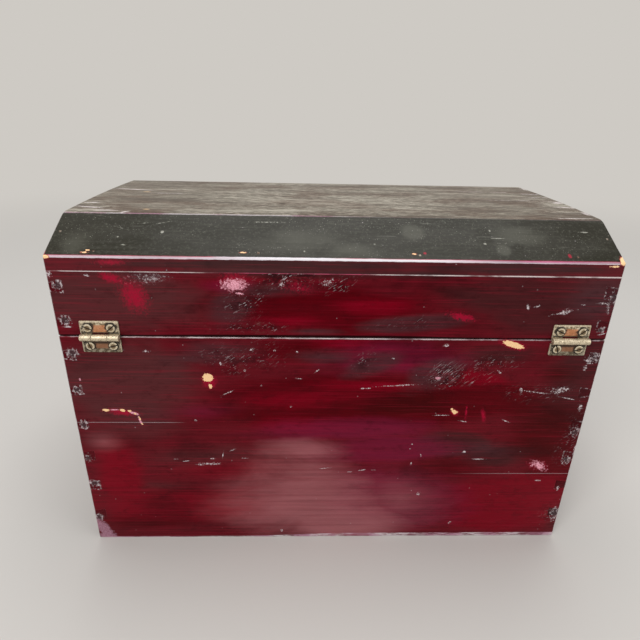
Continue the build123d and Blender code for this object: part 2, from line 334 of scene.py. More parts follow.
faceLine = most(times(sideLine, acrossWall), times(rootLine, below))
line = mixValues(onEnd, faceLine, endLine)
feed(result["Line"], times(line, below))
feed(result["Pin"], times(acrossWall, times(nearFace, under(pastPin, 0.0))))

# Bare old wood, with its grain drawn out along the board
bareWood, given, result = newGroup(
    "bareWood",
    {
        "Stretch": ("vector", (1, 8, 8)),
        "Light": ("colour", (0.5, 0.3, 0.15, 1)),
        "Dark": ("colour", (0.2, 0.1, 0.05, 1)),
    },
    ["Colour", "Roughness", "Height"],
)
drawn = vectorCalc("MULTIPLY", opened["position"], given["Stretch"])
swell = noise(drawn, 1.6, 2, 0.5, 0.2)
rings = calc("SINE", times(swell, 120.0))
fibres = noise(vectorCalc("MULTIPLY", drawn, (9, 9, 9)), 5.0, 4, 0.65)
stain = speckle(14, 4, 0.6)
grain = scaled(rings, 0.1, fibres)
woodColour = painted(given["Dark"], remap(grain, 0.3, 0.72), given["Light"])
dulled = painted(woodColour, remap(stain, 0.45, 0.75, 0.0, 0.45), given["Dark"])
feed(result["Colour"], dulled)
feed(result["Roughness"], remap(fibres, 0.2, 0.8, 0.62, 0.85))
feed(result["Height"], times(grain, 0.5))
print("shader groups made")

# The lacquered boards: colours as seen, then the maker's values
lacquer = {
    "maroon": tone(92, 16, 26), "brown": tone(78, 40, 42), "umber": tone(60, 28, 30), "ox": tone(56, 4, 5),
    "deep": tone(79, 0, 9), "crimson": tone(118, 0, 22), "wine": tone(112, 22, 52),
    # haze is the pale tone of a painted reflection
    "paintedReflection": tone(164, 102, 106), "smoke": tone(66, 42, 46), "shade": tone(20, 2, 4),
    "streak": tone(150, 18, 44), "soot": tone(24, 14, 16), "olive": tone(92, 82, 74),
    # gap is the near-black of a painted shadow in the gap under the lid; rim is the pale of the painted
    # highlight along the base's rim, and also of seams and dust
    "scar": tone(58, 52, 54), "gap": tone(5, 2, 3), "rim": tone(236, 224, 222),
    "seamPink": tone(206, 92, 120), "pink": tone(240, 172, 188), "mauve": tone(176, 132, 150),
    "scuff": tone(206, 196, 198), "bare": tone(250, 208, 156), "brightRed": tone(172, 10, 50),
    "slate": tone(76, 75, 65), "black": tone(41, 39, 30), "blackDeep": tone(28, 26, 12),
    # The top's faded and scuffed tones are paler also as a painted sheen
    "topFadedAndSheen": tone(112, 103, 89), "topBrown": tone(84, 64, 48), "topDark": tone(66, 52, 40),
    # The band's white tone is a painted highlight
    "topScuffAndSheen": tone(190, 182, 166), "dust": tone(200, 198, 184), "bandHighlight": tone(236, 230, 234),
    "bandPink": tone(206, 132, 164), "woodLight": tone(168, 126, 84), "woodDark": tone(120, 84, 52),
    "reflection": tone(255, 64, 76),
    "roughness": 0.3,
    "blackRoughness": 0.42,
    "chipRoughness": 0.72,
    "shine": 0.2,
    "blackShine": 0.16,
    "coat": 0.03,
    "coatRoughness": 0.1,
    "lift": 0.00012,  # height of the brush marks
}
coverage = {  # how strongly each kind covers, in the order they are laid
    "fields": {
        "brown": 0.95, "deep": 1.0, "umber": 0.92, "ox": 0.9, "crimson": 0.9, "wine": 0.7, "smoke": 0.8
    },
    "marks": {"brightRed": 0.7, "mauve": 0.85, "scuff": 0.95, "pink": 1.0, "bare": 1.0, "dust": 0.6},
    "top": {"topBrown": 0.65, "topScuffAndSheen": 0.5, "bare": 0.7},
    "slope": {"slate": 0.75, "blackDeep": 0.9},
}

# Fields of paint on the back, in millimetres: middle x, z, half size x, z, then as wholeMark has it
backFields = {
    "brown": [
        (-165, 238, 80, 34, 1.2), (-170, 165, 80, 60, 1.2, 0.6), (205, 250, 50, 30, 1.2, 0.8),
        (-60, 262, 80, 8, 1.4, 0.9), (-110, 92, 70, 22, 1.6, 1.2), (-150, 60, 40, 12, 1.6, 1.4),
    ],
    "deep": [
        (-10, 232, 105, 26, 1.4), (0, 198, 110, 16, 1.6, 0.6), (55, 152, 190, 30, 1.2, 0.4),
        (190, 112, 60, 40, 1.4, 0.6), (202, 77, 40, 24, 1.4, 0.6), (-166, 19, 62, 14, 1.4, 0.7),
        (-29, 136, 120, 16, 1.4, 0.6), (-66, 268, 90, 5, 1.4, 0.8), (110, 80, 60, 20, 1.8, 1),
    ],
    "umber": [
        (140, 244, 74, 28, 1.4, 0.7), (-5, 261, 143, 5, 2.4, 0.8), (196, 170, 44, 50, 1.4, 0.8),
        (132, 195, 50, 12, 1.4, 0.8), (102, 108, 39, 17, 1.2, 0.4), (145, 90, 40, 15, 1.4, 0.7),
        (160, 228, 66, 24, 1, 0.6), (202, 188, 30, 30, 1.2, 0.6), (214, 29, 18, 30, 1.4, 0.8),
        # The two long, thin fields below darken the strip under the lower arris: partly its dark brown,
        # partly a painted shadow line under the arris
        (135, 267, 90, 6, 1, 0.6), (-60, 267.5, 150, 4.4, 0.8),
    ],
    "ox": [
        (180, 132, 52, 26, 1.4, 0.8), (178, 105, 40, 20, 1.4, 0.8), (60, 147, 60, 14, 1.4, 0.8),
        (182, 176, 30, 16, 1.6, 1), (0, 150, 70, 9, 1.8, 1),
    ],
    "crimson": [
        (-34, 222, 40, 11, 2.2, 0.8), (28, 236, 46, 9, 2.2, 0.9), (-40, 152, 80, 13, 2.4, 1),
        (41, 166, 80, 6, 2.6, 1), (117, 174, 44, 8, 2.4, 0.6, -4), (-186, 75, 26, 44, 1.4, 0.6),
        (-125, 40, 110, 26, 1.4, 0.6), (162, 42, 90, 42, 1.4), (3, 204, 34, 6, 2.4, 0.8),
        (-28, 127, 80, 12, 1.6, 0.8), (-66, 252, 48, 8, 2.4, 0.8), (-100, 80, 60, 16, 2, 1.2),
    ],
    "wine": [
        (43, 191, 80, 20, 2.2, 0.8), (6, 122, 105, 16, 1.4, 0.6), (46, 103, 80, 20, 1.4, 0.6),
        (59, 48, 80, 48, 1.4, 0.6), (-81, 251, 27, 7, 2.4, 0.9), (-110, 140, 50, 14, 2, 1.4),
    ],
    "smoke": [
        (63, 222, 56, 9, 1.2, 0.5, 5), (-20, 214, 30, 5, 2.4, 0.7), (29, 184, 28, 12, 2, 0.6, 18),
        (-95, 196, 52, 16, 1.8, 0.7), (-50, 248, 48, 9, 2.6, 0.8), (200, 243, 32, 32, 1.4, 0.8),
        (-81, 230, 22, 22, 2.4, 0.8), (-140, 258, 19, 4, 2.4, 0.8), (80, 177, 30, 15, 2.4, 0.7, 20),
        (143, 99, 45, 17, 2, 1.2), (-10, 192, 40, 10, 2.4, 1),
    ],
    # Paler fields where the lacquer shows a reflection: painted reflection
    "paintedReflection": [
        (-28, 39, 88, 62, 1.2, 0.8), (5, 18, 84, 28, 1.2, 0.7), (-73, 45, 60, 44, 1.6, 1.6),
        (-20, 103, 56, 16, 2, 1.2), (64, 44, 60, 48, 1.4, 2), (-195, 109, 22, 15, 1.2, 2),
    ],
    "speckled": [
        (-36, 256, 36, 9, 2.4, 0.8), (0, 252, 22, 9, 2.4, 1, 20), (-70, 237, 26, 18, 2.4, 1.2, 30),
        (-66, 217, 34, 7, 2.4, 1), (-66, 190, 46, 18, 2.4, 1.4), (22, 186, 20, 13, 2.4, 1.2, 30),
        (88, 173, 27, 14, 2.4, 0.8, 14), (135, 186, 34, 12, 2.4, 1.6), (168, 160, 44, 14, 2.4, 1.8),
        (60, 222, 50, 8, 2.4, 2.2, 6), (205, 118, 16, 40, 2.4, 1.6), (205, 28, 14, 18, 2, 1),
    ],
    "hatched": [(87, 178, 22, 12, 2, 0.9, 14), (116, 170, 18, 5, 2.4, 1.4, 14)],
}

# Single marks, in the same terms, and with z above the arris on the slope
backMarks = {
    "brightRed": [
        (-102, 169, 7.5, 8, 1.4, 0.8), (141, 204, 15, 5, 1.2, 0.7, -17), (102, 140, 5.5, 4, 1, 0.7, -35),
        (-176, 139, 18, 4.2, 1.8, 0.9, -8), (-78, 254, 14, 10, 2.6, 1), (185, 84, 12, 6.5, 2.6, 0.9, -20),
        (-168, 256, 12, 5, 2, 0.9, -15), (-153, 242, 13, 17, 2, 0.9, 22), (96, 228, 13, 3.8, 3, 0.7, -12),
        (112, 140, 1.3, 9.5, 3.4, 0.8, 4), (127, 137, 2.6, 9.5, 1.4, 0.9, 14), (-168, 268, 16, 3, 2, 1.2),
        (-30, 250, 16, 6, 3, 1.6, -6), (64, 276, 1.5, 0.8, 1), (174, 275.6, 1.6, 1.4, 1.6),
    ],
    "scuff": [
        (-141, 256, 15, 4, 5, 1.8, 3), (211, 214, 5, 0.6, 0.8, 0.4, 14), (-45, 8, 1.4, 1.6, 0.5, 0.4),
        (113, 17, 1.1, 2.6, 1.6, 0.5, -30), (-30, 172, 3.4, 0.5, 1.2, 0.5, -5),
        (-67, 198, 2.5, 1, 3, 0.6, 20), (-73, 179, 1, 1, 2.4), (-49, 197, 1.2, 1, 2.4, 0.5, 30),
        (-31, 196, 1, 1.4, 2.4), (-92, 185, 1, 1.8, 2.4), (-15, 179, 3, 0.7, 2.4, 0.5, 45),
        (-60, 165, 1, 0.9, 2.4), (-36, 145, 1, 1.2, 2.4), (-116, 131, 1.7, 1, 2.4, 0.5, -20),
        (-88, 158, 6, 0.6, 3.4, 0.6, 25), (155, 162, 1.5, 3.2, 2.6, 0.5, 10),
        (168, 160, 12, 0.6, 3.4, 0.5, -8), (188, 162, 7, 3, 5, 0.6, 10), (197, 154, 8.5, 0.6, 3, 0.5, -12),
        (209, 145, 2, 3.4, 3, 0.6), (110, 131, 4.3, 0.6, 3.2, 0.5, -8), (91, 137, 8.5, 0.45, 2),
        (148, 131, 4.3, 0.6, 2.6, 0.5, -25), (46, 191, 1.6, 0.9, 2.4), (134, 179, 2.6, 0.8, 2.8, 0.5, -40),
        (53, 166, 16, 0.6, 4.6, 0.6, 4), (26, 163, 5, 0.6, 3.4, 0.6, 4), (116, 99, 1.6, 1.4, 3, 0.5, 30),
        (78, 95, 0.9, 1.8, 2.6), (27, 79, 4, 0.6, 2.6, 0.5, 10), (16, 77, 3, 0.5, 2.6),
        (37, 79, 2.4, 0.5, 2.6), (-6, 81, 5, 0.6, 3, 0.5, 8), (-127, 89, 3.4, 0.5, 2.4, 0.5, 6),
        (-136, 91, 2, 0.4, 2), (-116, 85, 5, 0.5, 3.2, 0.5, -4), (-104, 91.5, 2.8, 0.8, 1, 0.4),
        (-95, 96, 0.6, 5, 2.6, 0.5, -12), (-107, 86, 9, 1.2, 4.6), (-76, 92, 3, 0.5, 2.4),
        (-86, 101, 4, 0.6, 3, 0.6, 24), (69, 107, 0.8, 0.9, 1.6), (68, 102, 0.7, 0.7, 1.6),
        (70, 86, 0.9, 1.8, 1.6, 0.5, -20), (80, 52, 2.2, 2.2, 4.4, 0.6), (130, 91, 7, 0.6, 3.2),
        (188, 67, 3.2, 0.9, 1.8), (208, 58, 1.4, 3.4, 3.6), (87, 203, 2.4, 1.4, 4.4),
        (147, 236, 1.6, 2.6, 3, 0.5, 20), (154, 237, 2.2, 1, 3.4, 0.5, 20),
        (190, 238.6, 2.4, 0.7, 0.8, 0.4, -8), (176, 232, 10, 0.7, 4.6, 0.6, 14), (178, 233, 4, 2, 5, 0.6, 20),
        (-213, 262, 2.2, 7, 3), (-207, 216.4, 4.6, 0.9, 1.6), (-206.6, 156.4, 4, 0.9, 1.6),
        (-186, 258, 3.4, 0.8, 4.6, 0.6, -14), (-43, 253, 2, 1.6, 4, 0.6), (-29, 261.5, 4.6, 0.8, 3),
        (-9, 254, 6, 2.4, 5, 0.8, 20), (204, 240, 4.6, 0.9, 1.6), (210, 236, 1.4, 6, 3.6, 0.6, 10),
        (205, 190, 4.6, 1.2, 2.4, 0.5, -14), (204, 183, 1.8, 3, 4, 0.6), (-150, 196, 3, 1.2, 4.6, 0.6),
        (214, 100, 1.2, 7, 3), (-170, 197, 3.6, 1, 4.6, 0.6), (-78, 264, 6, 2.2, 3),
    ],
    "flaked": [
        (-208.5, 250, 4.6, 5.2, 1.6, 0.9), (-207.6, 221.5, 5.4, 5.4, 1.8, 0.9),
        (-207, 193.5, 5.6, 5.4, 2.4, 0.9), (-208.5, 160.4, 5.4, 4.8, 2, 0.9), (-209, 126.5, 4, 6, 2, 0.9),
        (-211, 92.5, 4, 4.6, 3, 0.9), (-209.5, 64.8, 5.4, 4.8, 2.4, 0.9), (-211.5, 25, 5, 5.8, 1.4, 0.9),
        (212.4, 245, 4.2, 6.2, 1.8, 0.9, 8), (209, 217, 4, 3.6, 3, 0.9), (209, 193, 5.4, 5.6, 3.4, 0.9),
        (210, 120, 4.4, 6, 3, 0.9), (209, 90, 4.6, 5, 3.4, 0.9), (211, 27, 4.4, 9, 3.4, 0.9),
    ],
    "mauve": [(-209, 11, 6.5, 15, 1.2, 0.4, 26), (-207, 3, 9, 5, 1.2, 0.4)],
    "pink": [
        (-166, 138, 4.4, 1.5, 2.4, 0.4, -20), (-162, 131, 1, 4.4, 2.6, 0.4, 20),
        (-182, 141.4, 4, 0.7, 2.6, 0.4), (-78, 252, 10, 5.2, 3.4), (-78, 263, 9, 1.8, 3),
        (-75, 245, 4.2, 1, 2.6, 0.4, -8), (185, 84, 8, 4.2, 4.4, 0.6, -30), (84, 173, 2.4, 1.3, 1.6, 0.4),
        (-205, 170, 1, 1.4, 2),
    ],
    "bare": [
        (-103, 172.4, 4.4, 4.4, 1.6, 0.25, -20), (-101.6, 164.5, 1.6, 2.4, 2, 0.3),
        (141, 204, 10.5, 2.8, 1, 0.25, -17), (102, 140.4, 3.2, 2, 1.8, 0.3, -35),
        (99.4, 143, 1.3, 1.3, 1.4, 0.3), (-188.5, 141.2, 3.4, 1.5, 2, 0.3),
        (-175, 141, 2.6, 1.3, 2.4, 0.3, -8), (-169.6, 140.4, 1.7, 1.1, 1.8, 0.3),
        (-165.4, 137.6, 1.1, 0.8, 2.4, 0.4, -20), (-162, 133, 0.7, 2, 3, 0.4, 20),
        (-160.4, 127.4, 1.3, 0.6, 2.6, 0.4, -40), (-213, 271.6, 3.4, 1.5, 1, 0.4),
        (213.5, 273, 3, 3.6, 1.4, 0.4, -30), (207, 269.6, 4, 0.8, 3.4, 0.4), (-186, 274.2, 3.4, 0.5, 3),
        (-184, 275.4, 2, 0.4, 3), (-71, 275.2, 3, 0.45, 2.2), (56, 275.6, 2.2, 0.5, 2.2),
    ],
    "dust": [
        (-134, 285.2, 1.5, 0.9, 0.3, 0.4), (-56, 291.4, 14, 0.25, 6.4, 0.9),
        (-150, 289.8, 7, 0.25, 5, 1.6, 4), (-134, 290.4, 8, 0.25, 5, 1.6, 8),
        (-168, 287.4, 14, 0.2, 5, 1.8, -10), (-166, 282.4, 0.8, 0.5, 2.4), (-160, 278.3, 2, 0.4, 4.4),
        (27, 280.4, 0.8, 0.4, 2.4), (119, 288.4, 1, 0.5, 2.4), (112, 281.4, 1.2, 0.6, 2.4),
        (123, 284.4, 6.3, 0.25, 3), (194, 288.4, 4.1, 0.4, 3.6), (-26, 276.2, 0.8, 0.4, 2.4),
    ],
    "slate": [
        (125, 278, 7, 3.6, 0.8), (58, 287, 11, 5.5, 1.2, 0.6), (139, 287, 27, 8, 1.4, 0.8),
        (-29, 282, 46, 9, 1.6, 1), (-195, 278, 16, 8, 1.6, 1), (8, 277, 30, 5, 1.6, 1),
    ],
    "blackDeep": [
        (35, 289, 16, 5, 1.2, 0.6), (85, 292, 36, 4, 1.2, 0.6), (137, 279, 7, 3.6, 1.2, 0.6),
        (193, 289, 30, 7, 1.2, 0.6), (-138, 290, 54, 5, 1.4, 0.9), (77, 279, 38, 4.6, 1.4, 0.8),
        (-96, 285, 30, 6, 1.4, 0.9), (113, 285, 8, 7, 1.2),
    ],
}

# Marks on the top board: middle x, y, half size x, y, and the same
topMarks = {
    "topBrown": [
        (-184, -22, 26, 9, 2, 0.8), (-199, -6, 40, 26, 2, 1.4), (68, -73, 22, 12, 2, 1.2),
        (-200, 50, 40, 40, 2, 1.2), (185, 6, 60, 60, 2.4, 1.4), (140, -60, 60, 16, 2.4, 1.6),
    ],
    "topScuffAndSheen": [
        (-199, -80, 16, 5, 5.4, 0.6), (-196, -66, 14, 6, 5.4, 0.6), (-150, 20, 40, 5, 4, 1),
        (-111, -47, 1.2, 6.6, 3.4, 0.6, 50), (205, -25, 20, 20, 6, 0.8), (200, -62, 22, 6, 6, 0.6),
        (30, -20, 110, 40, 3, 2), (-60, -30, 60, 30, 4, 2),
    ],
    "bare": [(-154, -75, 3.1, 1.6, 2), (-176, 4, 4.4, 1.4, 2)],
    "dust": [
        (-193, 17.6, 24, 1.5, 1.6, 0.4, -10), (-201, -70, 14, 1.6, 3.4, 0.5, -14), (-186, -81, 12, 1.4, 3.4),
        (-206, -52, 8, 1.4, 3.4, 0.5, 10), (-168, -85, 5, 1.2, 2.4, 0.5, 40), (-155, -2, 16, 0.8, 4.6, 0.6),
        (204, 30, 10, 2, 5.4, 0.9, -14), (200, 8, 16, 1.2, 5.4, 0.9, 10), (210, -18, 6, 5, 5.4, 0.9),
        (176, -10, 38, 0.7, 5.6, 0.9), (206, -40, 10, 2.4, 5.4, 0.9, -10), (212.5, -66, 3, 8, 4.6, 0.9),
        (196, -84, 18, 1.2, 5.4, 0.9), (212.5, 66, 3, 9, 5, 0.9), (150, 40, 30, 1, 6.4, 1),
    ],
}


def chosenMarks(marks, test):
    return {kind: [mark for mark in listed if test(*mark[:2])] for kind, listed in marks.items()}


def wholeMark(x, z, halfX, halfZ, ragged=2.4, soft=0.5, tilt=0):
    return x / 1000, z / 1000, halfX / 1000, halfZ / 1000, ragged, soft, radians(tilt)


def spotMask(grain, marks, skin=0.004, **place):
    # The largest mask of the listed marks, each on the trunk's own surface and merged as it is made
    largest = None
    for mark in marks:
        x, z, halfX, halfZ, ragged, soft, tilt = wholeMark(*mark)
        depth = max(0.0, z - form["lowerArris"]) / slopeRate - halfDepth
        spot = maskOf(
            paintSpot, Grain=grain, Centre=(x, depth, z), Size=(halfX, skin, halfZ), Tilt=tilt, Ragged=ragged,
            Soft=soft, **place,
        )
        largest = most(largest, spot) if largest else spot
    return largest or 0.0


def spotted(colour, grain, marks, shares, **settings):
    for kind, share in shares.items():
        if kind in marks:
            colour = painted(colour, times(spotMask(grain, marks[kind], **settings), share), kind)
    return colour


def layered(colour, *layers):
    # Each layer is a value, where it starts and where it is full, how strong it gets, and its tone
    for value, start, full, share, kind in layers:
        colour = painted(colour, remap(value, start, full, 0.0, share), kind)
    return colour


def newMaterial(name):
    material = bpy.data.materials.new(name)
    material.use_nodes = True
    material.node_tree.nodes.clear()
    openTree(material.node_tree)
    output = addNode("ShaderNodeOutputMaterial")
    shader = addNode("ShaderNodeBsdfPrincipled")
    feed(output.inputs[0], shader.outputs[0])
    opened["position"] = addNode("ShaderNodeTexCoord").outputs["Object"]
    return material, shader


def connect(shader, colour, roughness, height, lift):
    bump = addNode("ShaderNodeBump", {"Height": height, "Strength": 1.0, "Distance": lift})
    feed(shader.inputs["Base Color"], colour)
    feed(shader.inputs["Roughness"], roughness)
    feed(shader.inputs["Normal"], bump.outputs["Normal"])


def maroonColour(strokes, edges, fields):
    # Maroon lacquer: cloudy fields of colour, then the brush's fine dark and bright streaks, and last paler
    # fields of painted reflection on the back
    first, second, third = separate(drift((9, 9, 22), 5, 0.6, 0.4, "Color"))
    colour = painted("maroon", remap(first, 0.46, 0.6), "deep")
    colour = layered(
        colour, (first, 0.53, 0.4, 0.9, "brown"), (second, 0.54, 0.68, 0.6, "crimson"),
        (third, 0.48, 0.62, 0.85, "umber"), (second, 0.4, 0.3, 0.35, "wine"),
    )
    if fields:
        back = "maroon"
        for kind, share in coverage["fields"].items():
            field = spotMask(first, fields.get(kind, []))
            if field:
                broken = times(field, remap(strokes["Broad"], 0.3, 0.56, 0.8 * share, share))
                back = painted(back, broken, kind)
        colour = painted(colour, edges["Back"], back)
    colour = layered(colour, (third, 0.5, 0.3, 0.45, "shade"), (strokes["Fine"], 0.5, 0.75, 0.26, "shade"))
    mottle = drift((90, 180, 180), 5, 0.72, 0.2)
    colour = layered(
        colour, (mottle, 0.5, 0.7, 0.32, "shade"), (strokes["Hair"], 0.47, 0.32, 0.15, "shade"),
        (strokes["Hair"], 0.53, 0.7, 0.18, "streak"),
    )
    # Painted reflection: the paler haze fields, broken by the brush strokes, on the back face only
    paintedReflection = spotMask(first, fields.get("paintedReflection", []))
    if paintedReflection:
        paintedReflection = times(paintedReflection, remap(strokes["Fine"], 0.7, 0.35, 0.5, 0.75))
        colour = painted(colour, times(paintedReflection, edges["Back"]), "paintedReflection")
    return colour


def blackColour(strokes, topBoard, marks):
    # Black lacquer of the slopes; on the top it is rubbed and faded, and paler also as a painted sheen
    cloudy = drift((16, 34, 40), 5, 0.62, 0.3)
    if topBoard:
        x, y, z = separate(opened["position"])
        flat = addNode("ShaderNodeCombineXYZ", {"X": x, "Y": -halfDepth, "Z": y}).outputs[0]
        frost = drift((120, 520, 520), 6, 0.8, 0.3)
        streaky = drift((9, 70, 70), 7, 0.72, 0.4)
        # On the top, the faded and scuffed tones are paler also as a painted sheen
        colour = painted("topBrown", remap(cloudy, 0.36, 0.58), "topFadedAndSheen")
        colour = spotted(colour, frost, marks, coverage["top"], Position=flat)
        # Paler rubbed lacquer, strongest in the middle: worn, and partly a painted sheen
        centre = remap(positive(x), 0.17, 0.05, 0.5, 1.0)
        rubbedAndSheen = times(remap(frost, 0.48, 0.62), remap(cloudy, 0.34, 0.6, 0.35, 0.8), centre)
        colour = layered(
            painted(colour, rubbedAndSheen, "topScuffAndSheen"), (frost, 0.5, 0.38, 0.6, "blackDeep"),
            (streaky, 0.52, 0.62, 0.74, "topDark"), (streaky, 0.46, 0.34, 0.5, "topScuffAndSheen"),
        )
        colour = painted(colour, times(spotMask(frost, marks["dust"], Position=flat), 0.75), "rim")
    else:
        grain = speckle(420, 3, 0.65, 0.3)
        colour = painted("blackDeep", remap(cloudy, 0.36, 0.56), "black")
        colour = spotted(colour, cloudy, marks, coverage["slope"], skin=0.05)
        colour = layered(
            colour, (strokes["Fine"], 0.5, 0.75, 0.3, "blackDeep"), (grain, 0.5, 0.66, 0.4, "slate"),
            (strokes["Hair"], 0.5, 0.75, 0.22, "slate"),
        )
    dustMask = most(
        maskOf(flecks, Scale=700, Share=0.3, Size=0.32), maskOf(flecks, Scale=170, Share=0.2, Size=0.085)
    )
    colour = painted(colour, times(dustMask, remap(cloudy, 0.4, 0.6, 0.08, 0.6)), "dust")
    return painted(colour, times(maskOf(scratches, Stretch=(26, 900, 900), Amount=0.1), 0.3), "dust")


def seamColour(colour, edges, patches):
    # Pale seams of the back, a painted highlight along the base's rim under a painted shadow in the gap, and
    # the kicked bottom edge
    x, y, z = separate(opened["position"])
    along = drift((28, 90, 90), 4, 0.65)
    fine = drift((90, 500, 700), 4, 0.7)
    low, high = form["backSeams"]
    seams = most(
        times(lineAt(z, high, 0.0004), remap(x, -0.122, -0.14, 0.0, 0.5)),
        times(lineAt(z, low, 0.0004), remap(x, 0.1, 0.16, 0.0, 0.5)),
    )
    slopeSeam = lineAt(z, railTop, remap(x, 0.02, 0.12, 0.0005, 0.0008))
    slopeSeam = times(slopeSeam, remap(along, 0.36, 0.56, 0.15, 0.9))
    seamTint = painted("rim", remap(positive(plus(x, 0.035)), 0.07, 0.05), "seamPink")
    colour = painted(colour, times(seams, edges["Back"]), "scuff")
    colour = painted(colour, times(slopeSeam, edges["Back"]), seamTint)

    # Painted highlight: a thin pale line along the base's upper arris, broken up and fainter towards the ends
    rimHighlightShare = times(remap(along, 0.36, 0.6, 0.1, 0.72), remap(fine, 0.34, 0.5, 0.3, 1.0))
    rimHighlightShare = times(rimHighlightShare, remap(positive(plus(x, 0.03)), 0.17, 0.1, 0.3, 1.0))
    rimHighlightLine = times(remap(z, baseTop - 0.0009, baseTop - 0.0004), under(z, rimHeight))
    colour = painted(colour, times(rimHighlightLine, rimHighlightShare, edges["Back"]), "rim")
    # Painted shadow in the gap: near-black on the lid's lower edge, reaching higher towards the middle
    gapShadowTop = remap(positive(plus(x, 0.02)), 0.16, 0.06, lidBottom + 0.0004, lidBottom + 0.0018)
    gap = times(remap(minus(z, gapShadowTop), 0.0004, 0.0), over(z, rimHeight))
    colour = painted(colour, times(gap, edges["Back"]), "gap")

    kickTop = scaled(remap(x, -0.08, 0.02), 0.003, 0.0014)
    kick = times(remap(minus(z, kickTop), 0.0004, -0.0004), remap(fine, 0.4, 0.5, 0.25, 1.0))
    kick = times(kick, edges["Back"], remap(along, 0.38, 0.48, 0.5, 1.0))
    return painted(colour, kick, painted("mauve", remap(patches, 0.42, 0.58), "scuff"))


def speckColour(colour, edges, patches, fields):
    # Sooty, scraped areas with pale specks, then slanting hairline scratches
    area = times(spotMask(patches, fields.get("speckled", [])), edges["Back"])
    soot = drift((75, 130, 130), 6, 0.76, 0.3)
    colour = painted(colour, times(area, remap(soot, 0.475, 0.575, 0.0, 0.84)), "soot")
    colour = painted(colour, times(area, remap(soot, 0.46, 0.36, 0.0, 0.32)), "olive")
    dots = most(
        maskOf(flecks, Scale=280, Share=0.36, Size=0.2), maskOf(flecks, Scale=700, Share=0.3, Size=0.34),
        maskOf(scratches, Angle=radians(35), Stretch=(260, 1500, 1200), Amount=0.7),
    )
    dots = times(dots, remap(soot, 0.42, 0.56, 0.15, 0.55))
    colour = painted(colour, times(dots, area), "scuff")
    hatch = times(
        spotMask(patches, fields.get("hatched", [])),
        maskOf(scratches, Angle=radians(44), Stretch=(110, 1500, 1150), Amount=1.3),
    )
    return painted(colour, times(hatch, remap(soot, 0.42, 0.56, 0.06, 0.5), edges["Back"]), "scuff")


def flakedColour(colour, grain, marks):
    # Chips at the joints: a dark scar inside a pale broken outline
    scar = spotMask(grain, marks)
    outline = times(remap(scar, 0.04, 0.3), remap(scar, 0.9, 0.4))
    colour = painted(colour, remap(scar, 0.3, 0.8, 0.0, 0.75), "scar")
    flecked = maskOf(flecks, Scale=420, Share=0.5, Size=0.4)
    broken = noise(vectorCalc("MULTIPLY", opened["position"], (1.6, 1, 1)), 330, 3, 0.7, 0.4)
    pale = most(
        times(outline, remap(broken, 0.47, 0.56, 0.0, 0.8)), times(remap(scar, 0.1, 0.4, 0.0, 0.6), flecked)
    )
    return painted(colour, pale, "scuff")


def bandColour(colour, crisp):
    # The bright band along the back's lower arris: worn pink and mauve paint, with a painted white highlight
    # over the left part, in the middle and along its lower edge
    x, y, z = separate(opened["position"])
    arris = form["lowerArris"]
    along = drift((14, 60, 60), 4, 0.6)
    middle = remap(apart(x, 0.01), 0.13, 0.05)
    high = remap(z, arris + 0.0001, arris + 0.0005)
    low = remap(z, arris - 0.0004, arris - 0.001)
    left = remap(x, 0.03, -0.09)
    tint = painted("mauve", remap(along, 0.42, 0.56), "bandPink")
    # Painted highlight: white over the left part, then fully in the middle and along the band's lower edge
    tint = painted(tint, times(left, 0.45), "bandHighlight")
    tint = painted(tint, most(middle, times(low, 0.8)), "bandHighlight")
    red = times(high, remap(plus(along, times(middle, -0.25)), 0.22, 0.4), 0.8)
    tint = painted(tint, red, "brightRed")
    return painted(colour, times(crisp, under(y, 0.0)), tint)


